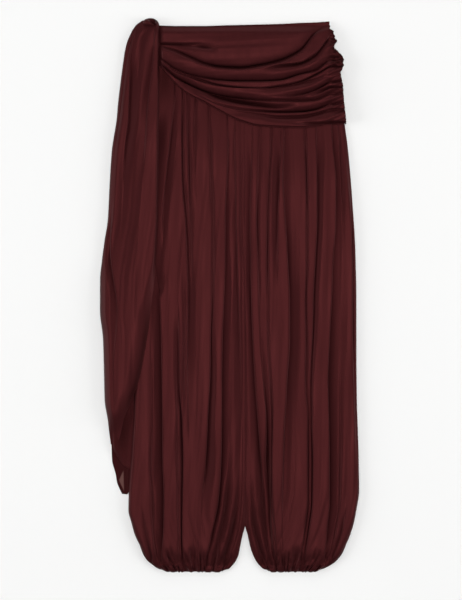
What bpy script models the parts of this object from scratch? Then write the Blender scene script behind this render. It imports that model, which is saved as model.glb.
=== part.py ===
"""Draped harem trousers laid flat, front side up, with a scarf tied at one hip.

X runs across the garment, Y up to the waist and Z up from the surface that it lies on.
Left and right are as the front is seen. The tables are in millimetres, with "down" measured
from the waist, or in percent of a leg's width. The scene is in metres.
"""

import bmesh
import bpy
import numpy as np

MM = 0.001
NAME = "draped_trousers"

# Driving sizes, in millimetres
WAIST_Y = 518.4
SEAM_X = 29.3
MIDDLE_X = -0.35
HEM_DOWN = 1049.0
CASING = 13.0
WALL = 1.6
SHEER_WALL = 1.0
GAP = 0.3
CLEAR = 0.5
REST = WALL + GAP + WALL
LEG_LOFT = 9.5
LEG_TUCKED = 0.2
SWAG_LOFT = 10.0
SCARF_LOFT = 6.0
SCARF_RAMP = 20.0
CREST = 5.0
GATHERS = 15
SCALLOP = 1.6
CASING_LOFT = 3.4
CORNER_RISE = 0.6
WAIST_TILT = 0.024

BURGUNDY = (0.052, 0.0105, 0.0115)
DEEP_BURGUNDY = (0.038, 0.008, 0.009)
SHEER_BURGUNDY = (0.16, 0.065, 0.065)

# down, and the edges of both legs: outer left, inner left, inner right, outer right
LEG_EDGES = (
    (1, -132, 29.3, 29.3, 190),
    (66, -147, 29.3, 29.3, 203),
    (151, -155, 29.3, 29.3, 213),
    (189, -161, 29.3, 29.3, 220),
    (239, -167, 29.3, 29.3, 227),
    (335, -176, 29.3, 29.3, 235),
    (431, -182, 29.3, 29.3, 241),
    (527, -184, 29.3, 29.3, 243),
    (623, -184, 29.3, 29.3, 243),
    (719, -184, 29.3, 29.3, 244),
    (815, -188, 29.3, 29.3, 247),
    (892, -192, 29.3, 29.3, 248.3),
    (930, -192, 29.3, 29.3, 243),
    (959, -188, 29.3, 29.3, 237),
    (978, -182, 24, 35, 231),
    (997, -173, 20, 39, 223),
    (1013, -167, 17, 44, 216),
    (1026, -159, 12, 50, 206),
    (1036, -147, 5, 57, 193),
    (1044, -134, -3, 66, 176),
    (1049, -111, -15, 82, 158),
)

# Places down the leg where the fold tables give a fold's place and depth
FOLD_DOWN = (162, 431, 700, 911, 1007)

# name, share of the width from the outer edge at each place, depth in percent, crisp side (1 inward)
LEFT_FOLDS = (
    ("outer shade", (7, 14, 17, 20, 9), (0, 10, 35, 40, 30), 0),
    ("outer deep", (12, 20, 24, 28, 19), (20, 80, 100, 95, 75), 1),
    ("scarf pleat", (25, 27, 31, 34, 29), (60, 10, 0, 0, 20), 0),
    ("wide band", (32, 38, 40, 45, 40), (10, 25, 90, 95, 80), 1),
    ("fine pair, outer", (37, 46, 50, 53, 50), (70, 60, 15, 0, 20), 0),
    ("fine pair, inner", (42, 51, 55, 58, 54), (50, 50, 0, 0, 0), 0),
    ("short pleat", (51, 56, 61, 61, 57), (70, 15, 0, 0, 25), 0),
    ("middle deep", (63, 70, 69, 65, 60), (65, 70, 90, 70, 40), -1),
    ("inner deep", (85, 82, 79, 78, 72), (85, 80, 95, 90, 75), -1),
    ("crotch fan", (88, 87, 86, 84, 77), (0, 10, 40, 75, 85), 1),
    ("seam shade", (92, 92, 96, 95, 89), (55, 60, 50, 60, 85), 0),
)
RIGHT_FOLDS = (
    ("edge strip", (3, 3, 3, 3, 3), (0, 50, 30, 20, 0), 0),
    ("outer shade", (6, 10, 17, 19, 10), (0, 20, 40, 45, 30), 0),
    ("outer deep", (10, 17, 24, 25, 18), (75, 60, 100, 95, 75), 1),
    ("wide band", (25, 35, 39, 43, 42), (85, 80, 95, 95, 80), 1),
    ("short pleat", (37, 43, 47, 51, 50), (60, 55, 10, 0, 20), 0),
    ("middle deep", (59, 60, 61, 66, 68), (85, 90, 90, 70, 40), -1),
    ("fine pair, outer", (63, 74, 75, 74, 72), (50, 30, 0, 0, 0), 0),
    ("fine pair, inner", (70, 80, 80, 78, 75), (50, 30, 0, 0, 0), 0),
    ("inner deep", (85, 88, 83, 80, 77), (75, 75, 90, 90, 80), -1),
    ("crotch fan", (95, 96, 91, 85, 81), (60, 60, 60, 75, 80), 1),
    ("seam shade", (98, 98, 97, 95, 90), (0, 0, 20, 60, 80), 0),
)

# The places across the hips where the swag lines are given, and each line's place down
SWAG_X = (-134.0, -105, -76, -48, -19, 20, 58, 96, 135, 164, 191)
SWAG_LINES = (
    ("waist", (1, 2, 2, 2, 1, 0, -1, -2, -4, -5, -7), 0),
    ("pinch", (26, 28, 24, 20, 24, 30, 30, 28, 20, 0, -5), 30),
    ("first swag", (36, 45, 61, 73, 76, 80, 74, 63, 43, 9, -2), 85),
    ("upper tuck", (48, 62, 80, 88, 92, 94, 90, 81, 66, 38, 22), 10),
    ("second swag", (58, 84, 97, 103, 105, 106, 106, 101, 89, 72, 47), 90),
    ("third swag", (64, 91, 104, 111, 116, 119, 117, 112, 107, 98, 70), 65),
    ("side tuck", (66, 96, 110, 118, 125, 133, 140, 143, 144, 140, 128), 45),
    ("fourth swag", (70, 103, 117, 127, 136, 147, 157, 166, 166, 162, 155), 90),
    ("lower edge", (78, 112, 135, 149, 165, 184, 194, 196, 197, 195, 190), 0),
)

# down, and where the ruffled right edge of the drape lies across
RUFFLED_EDGE = (
    (-7, 191), (7, 192), (12, 198), (23, 201), (33, 205), (41, 199), (54, 209),
    (65, 218), (80, 217), (94, 212), (113, 216), (142, 218), (169, 221), (190, 223),
)

# down, left edge and right edge of the scarf
SCARF_EDGES = (
    (-9, -168.0, -139.0),
    (0, -180.0, -135.2),
    (16, -190.0, -134.8),
    (39, -199.0, -134.8),
    (68, -204.0, -134.8),
    (105, -209.0, -134.8),
    (147, -214.0, -135.0),
    (180, -217.0, -135.5),
    (239, -226.0, -136.2),
    (297, -230.0, -137.0),
    (373, -234.0, -138.0),
    (412, -240.0, -140.0),
    (450, -245.0, -142.0),
    (489, -248.8, -144.5),
    (546, -249.0, -151.0),
    (604, -243.0, -159.0),
    (681, -241.0, -174.0),
    (719, -240.0, -188.0),
    (757, -234.0, -203.0),
    (782, -231.0, -209.0),
    (804, -228.0, -216.0),
)
SCARF_DOWN = (30, 180, 330, 500, 640, 780)
SCARF_FOLDS = (
    ("left shade", (12, 10, 6, 14, 20, 20), (20, 30, 20, 75, 55, 0), 1),
    ("long valley", (30, 22, 22, 40, 45, 45), (60, 85, 20, 0, 0, 0), 0),
    ("middle valley", (62, 52, 45, 60, 62, 65), (55, 55, 15, 10, 15, 0), -1),
    ("border shade", (84, 86, 86, 86, 86, 86), (60, 45, 30, 20, 20, 0), 1),
)

# down and left edge of the scarf's lower layer, whose right edge runs beside the leg
UNDER_EDGE = (
    (28, -190.0),
    (105, -205.0),
    (239, -222.0),
    (373, -230.0),
    (489, -244.5),
    (604, -239.0),
    (719, -236.0),
    (782, -228.5),
    (809, -226.5),
)
UNDER_DROP = (0, 23, 38, 44)
# down, left edge and right edge of the sheer corner that hangs out below it
CORNER_EDGES = (
    (812, 857, -227.0, -192.5),
    (834, 869, -226.0, -194.0),
    (861, 880, -219.0, -194.5),
    (878, 890, -216.0, -195.5),
    (899, 900, -207.0, -200.0),
)
BESIDE = 2.0

KNOT_DOWN = -4.6
KNOT_X = -152.2
KNOT_HALF = (13.8, 8.6, 10.0)
KNOT_FURROWS = 5


def column(table, index):
    """One named column of a table, as numbers."""
    return np.array([row[index] for row in table], float)


def curve(places, values, at):
    """Values of a smooth curve through a table's rows, which never swings past them."""
    places = np.asarray(places, float)
    values = np.asarray(values, float)
    rises = np.diff(values) / np.diff(places)
    before, after = rises[:-1], rises[1:]
    same_way = before * after > 0
    middle = np.where(same_way, 2 * before * after / np.where(same_way, before + after, 1), 0)
    slopes = np.concatenate([rises[:1], middle, rises[-1:]])
    at = np.clip(at, places[0], places[-1])
    left = np.clip(np.searchsorted(places, at, side="right") - 1, 0, len(places) - 2)
    step = places[left + 1] - places[left]
    t = (at - places[left]) / step
    start = values[left] + slopes[left] * step * t * (1 - t) ** 2
    turn = (values[left + 1] - values[left]) * t * t * (3 - 2 * t)
    return start + turn - slopes[left + 1] * step * t * t * (1 - t)


def ease(t):
    """A soft step from 0 to 1."""
    t = np.clip(t, 0, 1)
    return t * t * (3 - 2 * t)


def waist_lift(x, down):
    """How far the slanting waist edge moves a row down, fading out below the hips."""
    return -WAIST_TILT * (x - SEAM_X) * (1 - ease(down / 110))


def folds_keep(folds, places, share, down, width, soft, crisp):
    """The part of the loft that the valleys leave, from 1 between them down to 0."""
    keep = np.ones(np.broadcast(share, down).shape)
    for _, shares, depths, crisp_side in folds:
        away = (share - curve(places, shares, down) / 100) * width
        depth = curve(places, depths, down) / 100
        reach = np.where(away * crisp_side > 0, crisp, soft)
        keep = keep * (1 - depth * (1 - ease(np.abs(away) / reach)))
    return keep


def fold_columns(folds, places, down, width):
    """Shares of the width where a row has points: each valley, its crisp crest and the middles."""
    lines = [0.0] + [float(curve(places, fold[1], down)) / 100 for fold in folds] + [1.0]
    sides = [1] + [fold[3] for fold in folds] + [-1]
    shares = [0.0]
    for k in range(len(lines) - 1):
        room = lines[k + 1] - lines[k]
        crest = min(CREST / width, 0.3 * room)
        if sides[k] > 0:
            shares += [lines[k] + crest, lines[k] + 0.6 * room]
        elif sides[k + 1] < 0:
            shares += [lines[k] + 0.4 * room, lines[k + 1] - crest]
        else:
            shares += [lines[k] + 0.35 * room, lines[k] + 0.7 * room]
        shares.append(lines[k + 1])
    return np.array(shares)


def drape_edge(x):
    """How far down the lower edge of the hip drape lies."""
    return curve(SWAG_X, SWAG_LINES[-1][1], x)


def leg_loft(x, down, from_edge):
    """Height of the pleats' crests over the layer below: low under the drape, full below it."""
    freed = LEG_TUCKED + (1 - LEG_TUCKED) * ease((down - drape_edge(x) + 30) / 80)
    rounded = np.sqrt(np.clip(from_edge / 26, 0.0, 1.0))
    hem = 1 - 0.45 * ease((down - 960) / 76)
    return LEG_LOFT * freed * rounded * hem


def leg_sides(side, down):
    """Outer and inner edge of a leg, and which way is inward."""
    outer = curve(column(LEG_EDGES, 0), column(LEG_EDGES, 1 if side == "left" else 4), down)
    inner = curve(column(LEG_EDGES, 0), column(LEG_EDGES, 2 if side == "left" else 3), down)
    half_gap = GAP / 2 if side == "left" else -GAP / 2
    return outer, inner - half_gap


def make_material(name, colour):
    """A satin-like cloth finish."""
    material = bpy.data.materials.new(name)
    material.use_nodes = True
    shader = material.node_tree.nodes["Principled BSDF"]
    shader.inputs["Base Color"].default_value = (*colour, 1)
    shader.inputs["Roughness"].default_value = 0.42
    shader.inputs["Metallic"].default_value = 0
    material.diffuse_color = (*colour, 1)
    return material


def add_wall(name, x, down, z, material, wall=WALL):
    """A cloth wall whose upper face follows the given rows and columns of points."""
    rows, columns = x.shape
    mesh = bpy.data.meshes.new(name)
    bm = bmesh.new()
    bmesh.ops.create_grid(bm, x_segments=columns - 1, y_segments=rows - 1, size=0.5)
    for vert in bm.verts:
        k = round((vert.co.x + 0.5) * (columns - 1))
        r = round((0.5 - vert.co.y) * (rows - 1))
        vert.co = (x[r, k] * MM, (WAIST_Y - down[r, k]) * MM, z[r, k] * MM)
    bm.to_mesh(mesh)
    bm.free()
    mesh.shade_smooth()
    mesh.materials.append(material)
    piece = bpy.data.objects.new(name, mesh)
    bpy.data.collections[NAME].objects.link(piece)
    shell = piece.modifiers.new("wall", "SOLIDIFY")
    shell.thickness = wall * MM
    shell.offset = -1
    return piece


def leg_front(side, material):
    """A front leg panel, gathered under the drape and at the ankle, in its real pleats."""
    folds = LEFT_FOLDS if side == "left" else RIGHT_FOLDS
    downs = [1, 60, 125, 165, 205, 255, 320, 400, 480, 560, 640, 720, 800]
    downs += [870, 915, 945, 970, 992, 1008, 1022, HEM_DOWN - CASING]
    x, down, z = [], [], []
    for place in downs:
        outer, inner = leg_sides(side, place)
        width = abs(inner - outer)
        share = fold_columns(folds, FOLD_DOWN, place, width)
        across = outer + share * (inner - outer)
        row_down = place + waist_lift(across, place)
        from_edge = np.minimum(share, 1 - share) * width
        keep = folds_keep(folds, FOLD_DOWN, share, place, width, 15.0, CREST)
        x.append(across)
        down.append(row_down)
        z.append(REST + leg_loft(across, row_down, from_edge) * keep)
    x, down, z = np.array(x), np.array(down), np.array(z)
    if side == "right":
        x, down, z = x[:, ::-1], down[:, ::-1], z[:, ::-1]
    return add_wall(f"front_leg_{side}", x, down, z, material)


def leg_back(side, material):
    """A back leg panel, which lies flat on the surface."""
    downs = [*column(LEG_EDGES, 0)[:-3], HEM_DOWN - CASING]
    edges = np.array([leg_sides(side, place) for place in downs])
    share = np.linspace(0, 1, 5)
    x = edges[:, :1] + share * (edges[:, 1:] - edges[:, :1])
    down = np.array(downs)[:, None] + waist_lift(x, np.array(downs)[:, None])
    if side == "right":
        x, down = x[:, ::-1], down[:, ::-1]
    return add_wall(f"back_leg_{side}", x, down, np.full(x.shape, WALL), material)


def hem_casing(side, face, material):
    """Half of the casing for the ankle elastic: puckered on the front, flat on the back."""
    start = HEM_DOWN - CASING + 2 * CLEAR
    share = np.linspace(0.0, 1.0, 2 * GATHERS + 1 if face == "front" else 9)
    middle = ease(np.minimum(share, 1 - share) * 7)
    full = np.array([[start], [start + 4.5], [start + 8.5], [HEM_DOWN]])
    corner = start + (full - start) * CORNER_RISE
    edges = np.array([leg_sides(side, place) for place in corner[:, 0]])
    x = edges[:, :1] + share * (edges[:, 1:] - edges[:, :1])
    pucker = 0.5 - 0.5 * np.cos(2 * np.pi * GATHERS * share)
    down = corner + (full - corner) * middle
    down[-1] += SCALLOP * (pucker - 0.5) * middle
    z = np.full(x.shape, WALL)
    wall = WALL
    if face == "front":
        wall = SHEER_WALL
        rolled = np.array([[0.9], [1.0], [0.8], [0.3]])
        z = WALL + GAP + wall + CASING_LOFT * rolled * (0.3 + 0.7 * middle) * (0.45 + 0.55 * pucker)
    if side == "right":
        x, down, z = x[:, ::-1], down[:, ::-1], z[:, ::-1]
    return add_wall(f"hem_casing_{face}_{side}", x, down, z, material, wall)


def swag_rows():
    """The drape's rows across the hips: each swag line, the crest below it and the fall between."""
    rows = []
    lines = [np.array(line[1], float) for line in SWAG_LINES]
    for above, below in zip(lines, lines[1:]):
        room = below - above
        rows += [above, above + np.minimum(CREST, 0.3 * room), above + 0.62 * room]
    return rows + [lines[-1]]


def drape_height(x, down):
    """Upper face of the drape: it rides on the legs' crests, with a swag below each line."""
    keep = np.ones(x.shape)
    for _, places, depth in SWAG_LINES[1:-1]:
        away = down - curve(SWAG_X, places, x)
        reach = np.where(away > 0, CREST, 17.0)
        keep = keep * (1 - depth / 100 * (1 - ease(np.abs(away) / reach)))
    full = ease(down / 45) * (0.35 + 0.65 * ease((drape_edge(x) - down) / 22))
    base = REST + leg_loft(x, down, 40.0) + 2 * CLEAR + WALL
    return base + SWAG_LOFT * full * keep


def hip_drape(material):
    """The draped front of the hips, with its swags run to the gathered right side."""
    fine_x = np.concatenate([np.linspace(SWAG_X[0], 150, 17), [160, 169, 178, 187]])
    down = np.array([curve(SWAG_X, row, fine_x) for row in swag_rows()])
    x = np.tile(fine_x, (len(down), 1))
    edge_down = down[:, -1:]
    edge_x = np.interp(edge_down, column(RUFFLED_EDGE, 0), column(RUFFLED_EDGE, 1))
    for step in (0.5, 1.0):
        x = np.hstack([x, fine_x[-1] + step * (edge_x - fine_x[-1])])
        down = np.hstack([down, edge_down])
    z = drape_height(x, down)
    ruffle = ease((x - 150) / 50) * np.sin(2 * np.pi * down / 24)
    return add_wall("hip_drape", x, down, z + 1.2 * ruffle * ease(down / 20), material)


def scarf_base(x, down):
    """The layer under the scarf: its own lower layer beside the leg, and the leg past its edge."""
    outer = curve(column(LEG_EDGES, 0), column(LEG_EDGES, 1), np.maximum(down, 1))
    on_leg = ease((x - outer + SCARF_RAMP - 2) / SCARF_RAMP) * ease((down + 2) / 26)
    leg_top = REST + leg_loft(x, np.maximum(down, drape_edge(x) - 30), 40.0) + CLEAR
    beside = WALL + CLEAR
    return beside + (leg_top - beside) * on_leg


def scarf_front(material):
    """The upper layer of the scarf, from the knot to where it is folded under."""
    x, down, z = [], [], []
    for place in column(SCARF_EDGES, 0):
        left = curve(column(SCARF_EDGES, 0), column(SCARF_EDGES, 1), place)
        right = curve(column(SCARF_EDGES, 0), column(SCARF_EDGES, 2), place)
        width = right - left
        share = fold_columns(SCARF_FOLDS, SCARF_DOWN, place, width)
        across = left + share * width
        keep = folds_keep(SCARF_FOLDS, SCARF_DOWN, share, place, width, 12.0, CREST)
        edge = np.sqrt(np.clip(np.minimum(share, 1 - share) * width / 12, 0, 1))
        start = ease((place - 5) / 40)
        end = 1 - 0.85 * ease((place - 660) / 130)
        x.append(across)
        down.append(np.full(across.shape, place))
        z.append(scarf_base(across, place) + WALL + SCARF_LOFT * edge * keep * start * end)
    return add_wall("scarf_front", np.array(x), np.array(down), np.array(z), material)


def scarf_under(material):
    """The lower layer of the scarf, which lies beside the leg and shows at its lower end."""
    share = np.linspace(0, 1, len(UNDER_DROP))
    level = np.linspace(UNDER_EDGE[0][0], UNDER_EDGE[-1][0], 18)[:, None]
    down = level + ease((level - 700) / 109) * np.array(UNDER_DROP)
    left = curve(column(UNDER_EDGE, 0), column(UNDER_EDGE, 1), level)
    right = leg_sides("left", down[:, -1:])[0] - BESIDE
    x = left + share * (right - left)
    return add_wall("scarf_under", x, down, np.full(x.shape, WALL), material)


def scarf_corner(material):
    """The single sheer corner that hangs out below the scarf's lower layer."""
    share = np.linspace(0, 1, len(UNDER_DROP))
    down_left, down_right, left, right = (column(CORNER_EDGES, k)[:, None] for k in range(4))
    down = down_left + share * (down_right - down_left)
    x = left + share * (right - left)
    down[0] = UNDER_EDGE[-1][0] + np.array(UNDER_DROP) + 2 * GAP
    right_end = leg_sides("left", down[0, -1])[0] - BESIDE
    x[0] = UNDER_EDGE[-1][1] + share * (right_end - UNDER_EDGE[-1][1])
    return add_wall("scarf_corner", x, down, np.full(x.shape, SHEER_WALL), material, SHEER_WALL)


def hip_knot(material):
    """The tied bundle at the hip, a furrowed knot that sits on the scarf's top end."""
    mesh = bpy.data.meshes.new("hip_knot")
    bm = bmesh.new()
    bmesh.ops.create_uvsphere(bm, u_segments=28, v_segments=12, radius=1)
    seat = WALL + CLEAR + WALL + GAP
    for vert in bm.verts:
        lean = vert.co.x * 0.9 + vert.co.y * 0.5
        furrow = 1 - 0.07 * (0.5 + 0.5 * np.cos(lean * np.pi * KNOT_FURROWS)) * max(vert.co.z, 0)
        x = KNOT_X + KNOT_HALF[0] * vert.co.x * furrow
        y = WAIST_Y - KNOT_DOWN + KNOT_HALF[1] * vert.co.y * furrow
        z = seat + KNOT_HALF[2] * 0.8 + KNOT_HALF[2] * vert.co.z * furrow
        vert.co = (x * MM, y * MM, max(z, seat) * MM)
    bm.to_mesh(mesh)
    bm.free()
    mesh.shade_smooth()
    mesh.materials.append(material)
    piece = bpy.data.objects.new("hip_knot", mesh)
    bpy.data.collections[NAME].objects.link(piece)
    return piece


def centre(pieces):
    """Sets the pieces' points so that the garment's box has its middle on the origin."""
    for piece in pieces:
        for vert in piece.data.vertices:
            vert.co.x -= MIDDLE_X * MM


def main():
    for old in list(bpy.data.objects):
        bpy.data.objects.remove(old, do_unlink=True)
    collection = bpy.data.collections.new(NAME)
    bpy.context.scene.collection.children.link(collection)
    satin = make_material("burgundy_satin", BURGUNDY)
    lining_side = make_material("deep_burgundy_satin", DEEP_BURGUNDY)
    sheer = make_material("sheer_burgundy", SHEER_BURGUNDY)
    pieces = []
    for side in ("left", "right"):
        pieces.append(leg_back(side, lining_side))
        pieces.append(leg_front(side, satin))
        pieces.append(hem_casing(side, "back", lining_side))
        pieces.append(hem_casing(side, "front", satin))
    pieces.append(hip_drape(satin))
    pieces.append(scarf_under(lining_side))
    pieces.append(scarf_corner(sheer))
    pieces.append(scarf_front(satin))
    pieces.append(hip_knot(satin))
    centre(pieces)


main()
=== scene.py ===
# %% [markdown]
# Draped harem trousers in burgundy satin, laid flat with the front up.
# The solids of the garment are already packed as a fixed frame. This lesson dresses them:
# each panel of cloth becomes a fine thin shell in the same place, with its own pleats,
# gathers and swags, and a satin finish. Blender works in metres, but the tables below are in
# millimetres, the unit that a cutter would use.

import math

import bmesh
import bpy
import numpy as np
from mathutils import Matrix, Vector


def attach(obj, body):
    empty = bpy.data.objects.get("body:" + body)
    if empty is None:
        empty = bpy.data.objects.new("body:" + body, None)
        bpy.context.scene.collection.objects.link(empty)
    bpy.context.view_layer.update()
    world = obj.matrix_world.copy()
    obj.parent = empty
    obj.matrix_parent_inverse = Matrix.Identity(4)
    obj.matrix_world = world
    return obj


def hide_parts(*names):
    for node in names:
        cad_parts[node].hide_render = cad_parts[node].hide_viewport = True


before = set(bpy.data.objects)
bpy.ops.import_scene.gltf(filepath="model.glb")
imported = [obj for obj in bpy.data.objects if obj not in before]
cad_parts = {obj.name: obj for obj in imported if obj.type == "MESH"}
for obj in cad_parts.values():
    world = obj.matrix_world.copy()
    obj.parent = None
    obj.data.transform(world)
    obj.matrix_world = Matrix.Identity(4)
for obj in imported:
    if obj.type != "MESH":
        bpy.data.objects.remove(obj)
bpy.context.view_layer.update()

# %% [markdown]
# A garment that is laid out is best described as a maker sees it: how far a point lies
# across, how far down from the waist, and how high the cloth stands there. Three small
# functions do most of the work. `curve` reads a table smoothly and never swings past its
# rows, `ease` is a soft step, and `column` picks one column of a table.

# %% Units and small helpers
MM = 0.001
# The waist edge and the middle of the waist in the frame
WAIST_Y = 518.4
MIDDLE_X = -0.35
# The middle seam across, the hem down, and how long the ankle casing is
SEAM_X = 29.3
HEM_DOWN = 1049.0
CASING = 13.0
# The solids' cloth, the gap between two layers, and the air kept clear over a layer
WALL = 1.6
GAP = 0.3
CLEAR = 0.5
REST = WALL + GAP + WALL
# How steeply the waist edge slants, and how far down the slant has died out
WAIST_TILT = 0.024
HIPS_DOWN = 110
# How thick the fine cloth is
SHELL = 0.45


def column(table, index):
    """One column of a table, as numbers."""
    return np.array([row[index] for row in table], float)


def curve(places, values, at):
    """Values of a smooth curve through a table's rows, which never swings past them. One
    number stands for a value that stays the same."""
    if np.isscalar(values):
        return float(values)
    places = np.asarray(places, float)
    values = np.asarray(values, float)
    rises = np.diff(values) / np.diff(places)
    before, after = rises[:-1], rises[1:]
    same_way = before * after > 0
    middle = np.where(same_way, 2 * before * after / np.where(same_way, before + after, 1), 0)
    slopes = np.concatenate([rises[:1], middle, rises[-1:]])
    at = np.clip(at, places[0], places[-1])
    left = np.clip(np.searchsorted(places, at, side="right") - 1, 0, len(places) - 2)
    step = places[left + 1] - places[left]
    t = (at - places[left]) / step
    start = values[left] + slopes[left] * step * t * (1 - t) ** 2
    turn = (values[left + 1] - values[left]) * t * t * (3 - 2 * t)
    return start + turn - slopes[left + 1] * step * t * t * (1 - t)


def table_curve(table, index, at):
    """One column of a table as a curve over its first column."""
    return curve(column(table, 0), column(table, index), at)


def ease(t):
    """A soft step from 0 to 1."""
    t = np.clip(t, 0, 1)
    return t * t * (3 - 2 * t)


def hump(away, width):
    """1 at a place, falling to 0 on both sides of it."""
    return np.exp(-((away / width) ** 2))


def waist_lift(x, down):
    """How far the slanting waist edge moves a row down, fading out below the hips."""
    return -WAIST_TILT * (x - SEAM_X) * (1 - ease(down / HIPS_DOWN))


# %% [markdown]
# Satin is one smooth dark cloth, but it is never one flat colour: the threads catch light in
# fine streaks along the cloth, and the dye varies slowly. It could be a picture of cloth, but
# a picture has one scale and repeats. Noise read on each piece's own map, in metres, stays
# sharp at any distance and follows every pleat. The effect is a node group, because three
# finishes use it.

# %% The grain of satin, as a node group
def preset(node, values):
    """Set some of a node's own inputs."""
    for socket, value in values.items():
        node.inputs[socket].default_value = value


THREADS = 1800.0
# How much of the tone comes from the streaks; the rest comes from the dye
STREAK_SHARE = 0.55


def new_socket(group, name, in_out, value=None, kind="NodeSocketFloat"):
    """A named input or output of a node group."""
    socket = group.interface.new_socket(name=name, in_out=in_out, socket_type=kind)
    if value is not None:
        socket.default_value = value


def cloth_noise(group, cloth_map, scale, detail, drawn_out=1.0):
    """Noise on the cloth's map. A share under 1 draws it out along the cloth."""
    longer = group.nodes.new("ShaderNodeVectorMath")
    longer.operation = "MULTIPLY"
    preset(longer, {1: (1.0, drawn_out, 1.0)})
    group.links.new(cloth_map, longer.inputs[0])
    noise = group.nodes.new("ShaderNodeTexNoise")
    preset(noise, {"Scale": scale, "Detail": detail})
    group.links.new(longer.outputs[0], noise.inputs["Vector"])
    return noise


def satin_grain_group():
    """Fine threads and slow dye variation. Puts out a tone, a roughness and a height."""
    group = bpy.data.node_groups.new("satin_grain", "ShaderNodeTree")
    new_socket(group, "Map", "INPUT", kind="NodeSocketVector")
    new_socket(group, "Threads per metre", "INPUT", THREADS)
    new_socket(group, "Rough low", "INPUT", 0.42)
    new_socket(group, "Rough high", "INPUT", 0.56)
    for name in ("Tone", "Roughness", "Height"):
        new_socket(group, name, "OUTPUT")
    nodes, links = group.nodes, group.links
    given = nodes.new("NodeGroupInput")
    result = nodes.new("NodeGroupOutput")
    cloth_map = given.outputs["Map"]
    threads = cloth_noise(group, cloth_map, THREADS, 2.0, drawn_out=0.12)
    links.new(given.outputs["Threads per metre"], threads.inputs["Scale"])
    streaks = cloth_noise(group, cloth_map, 90.0, 3.0, drawn_out=0.06)
    dye = cloth_noise(group, cloth_map, 11.0, 1.5)

    dye_part = nodes.new("ShaderNodeMath")
    dye_part.operation = "MULTIPLY"
    preset(dye_part, {1: 1 - STREAK_SHARE})
    links.new(dye.outputs["Fac"], dye_part.inputs[0])
    tone = nodes.new("ShaderNodeMath")
    tone.operation = "MULTIPLY_ADD"
    preset(tone, {1: STREAK_SHARE})
    links.new(streaks.outputs["Fac"], tone.inputs[0])
    links.new(dye_part.outputs[0], tone.inputs[2])
    links.new(tone.outputs[0], result.inputs["Tone"])

    rough = nodes.new("ShaderNodeMapRange")
    preset(rough, {"From Min": 0.3, "From Max": 0.7})
    links.new(streaks.outputs["Fac"], rough.inputs["Value"])
    links.new(given.outputs["Rough low"], rough.inputs["To Min"])
    links.new(given.outputs["Rough high"], rough.inputs["To Max"])
    links.new(rough.outputs[0], result.inputs["Roughness"])
    links.new(threads.outputs["Fac"], result.inputs["Height"])
    return group


grain = satin_grain_group()
print("grain group sockets:", [item.name for item in grain.interface.items_tree])

# %% [markdown]
# The finish itself. The photo's cloth is a deep brownish red, about half way between wine and
# mahogany, with a soft broad gloss and hardly any sharp highlight. So the shader is rough for
# a satin, with a tinted gloss and a faint sheen. Two neighbouring reds, mixed by the grain's
# tone, keep it from looking like paint. The real folds go on far below these thin shells, and
# no light gets down there, so a mask on the cloth paints shade into the red deep inside a fold.
# Where the scarf's corner is a single layer, a second mask lets light through and paints the
# red paler, as painted light showing through.

# %% Satin finishes
FACE_REDS = ((0.026, 0.0053, 0.0060), (0.033, 0.0067, 0.0075))
BACK_REDS = ((0.032, 0.0064, 0.0071), (0.040, 0.0079, 0.0088))
RED_STOPS = (0.32, 0.68)
FACE_ROUGH = (0.39, 0.51)
BACK_ROUGH = (0.6, 0.72)
# How much of the red is left under the fullest painted shade in a fold
PAINTED_SHADE_LEFT = 0.04
# Painted light: the paler red where light shows through the single layer; the alpha below is real
# see-through
PAINTED_SHOW_THROUGH_RED = (0.13, 0.062, 0.055)
SHEER_ALPHA = 0.8
THREAD_HEIGHT = 0.0002
GLOSS = {
    "Metallic": 0.0,
    "Specular IOR Level": 0.18,
    "Specular Tint": (1.0, 0.20, 0.205, 1),
    "Sheen Weight": 0.05,
    "Sheen Roughness": 0.5,
    "Sheen Tint": (0.30, 0.07, 0.075, 1),
}


def cloth_mask(tree, name):
    """A mask that a piece carries on its points."""
    mask = tree.nodes.new("ShaderNodeAttribute")
    mask.attribute_name = name
    return mask.outputs["Fac"]


def masked(tree, mask, colour, other):
    """A colour that turns into another where the mask is 1."""
    mix = tree.nodes.new("ShaderNodeMix")
    mix.data_type = "RGBA"
    preset(mix, {7: (*other, 1)})
    tree.links.new(mask, mix.inputs[0])
    tree.links.new(colour, mix.inputs[6])
    return mix.outputs[2]


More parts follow.
